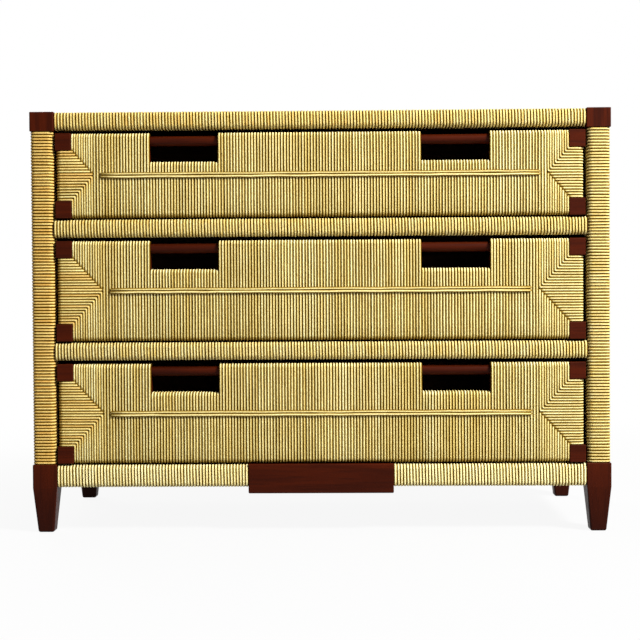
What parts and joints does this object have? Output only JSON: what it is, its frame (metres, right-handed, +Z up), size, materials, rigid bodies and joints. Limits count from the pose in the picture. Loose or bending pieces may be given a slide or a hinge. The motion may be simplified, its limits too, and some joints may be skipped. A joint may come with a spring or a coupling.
{
  "type": "chest of drawers",
  "caption": "Low chest of drawers: dark wood posts and rails wound in straw cord, woven cord panels, notched fronts with rod pulls, tapered legs.",
  "frame": {"origin": "on the floor, under the middle of the chest", "axes": "+Z up, the drawers open towards -Y, +X to the right of someone who faces the drawers"},
  "size_m": [1.1188, 0.48, 0.8147],
  "materials": {
    "mahogany": "satin, dark red-brown stain",
    "straw_cord": "twisted straw cord",
    "drawer_wood": "planed, dark brown",
    "screw_steel": "zinc plated"
  },
  "bodies": {
    "case": {"post_front_left": "mahogany", "post_front_right": "mahogany", "post_rear_left": "mahogany", "post_rear_right": "mahogany", "post_wrap_front_left": "straw_cord", "post_wrap_front_right": "straw_cord", "post_wrap_rear_left": "straw_cord", "post_wrap_rear_right": "straw_cord", "top_front_rail": "mahogany", "upper_divider_rail": "mahogany", "lower_divider_rail": "mahogany", "bottom_front_rail": "mahogany", "top_front_rail_wrap": "straw_cord", "upper_divider_rail_wrap": "straw_cord", "lower_divider_rail_wrap": "straw_cord", "bottom_front_rail_wrap": "straw_cord", "apron_block": "mahogany", "top_rear_rail": "mahogany", "top_rear_rail_wrap": "straw_cord", "bottom_rear_rail": "mahogany", "top_side_rail_left": "mahogany", "top_side_rail_right": "mahogany", "bottom_side_rail_left": "mahogany", "bottom_side_rail_right": "mahogany", "side_rail_wraps_left": "straw_cord", "side_rail_wraps_right": "straw_cord", "side_panel_left": "mahogany", "side_panel_right": "mahogany", "side_weave_left": "straw_cord", "side_weave_right": "straw_cord", "top_panel": "mahogany", "top_weave": "straw_cord", "back_panel": "drawer_wood", "back_panel_screws": "screw_steel", "bottom_panel": "drawer_wood", "drawer_bearers": "drawer_wood", "drawer_guides": "drawer_wood", "drawer_stops": "drawer_wood", "kickers": "drawer_wood"},
    "upper_drawer": {"upper_drawer_front_frame": "mahogany", "upper_drawer_front_weave": "straw_cord", "upper_drawer_pull_rods": "mahogany", "upper_drawer_side_left": "drawer_wood", "upper_drawer_side_right": "drawer_wood", "upper_drawer_back": "drawer_wood", "upper_drawer_bottom": "drawer_wood"},
    "middle_drawer": {"middle_drawer_front_frame": "mahogany", "middle_drawer_front_weave": "straw_cord", "middle_drawer_pull_rods": "mahogany", "middle_drawer_side_left": "drawer_wood", "middle_drawer_side_right": "drawer_wood", "middle_drawer_back": "drawer_wood", "middle_drawer_bottom": "drawer_wood"},
    "lower_drawer": {"lower_drawer_front_frame": "mahogany", "lower_drawer_front_weave": "straw_cord", "lower_drawer_pull_rods": "mahogany", "lower_drawer_side_left": "drawer_wood", "lower_drawer_side_right": "drawer_wood", "lower_drawer_back": "drawer_wood", "lower_drawer_bottom": "drawer_wood"}
  },
  "joints": [
    {"name": "upper_drawer_slide", "type": "slide", "parent": "case", "child": "upper_drawer", "axis": [0, -1, 0], "range_m": [0, 0.32]},
    {"name": "middle_drawer_slide", "type": "slide", "parent": "case", "child": "middle_drawer", "axis": [0, -1, 0], "range_m": [0, 0.32]},
    {"name": "lower_drawer_slide", "type": "slide", "parent": "case", "child": "lower_drawer", "axis": [0, -1, 0], "range_m": [0, 0.32]}
  ]
}
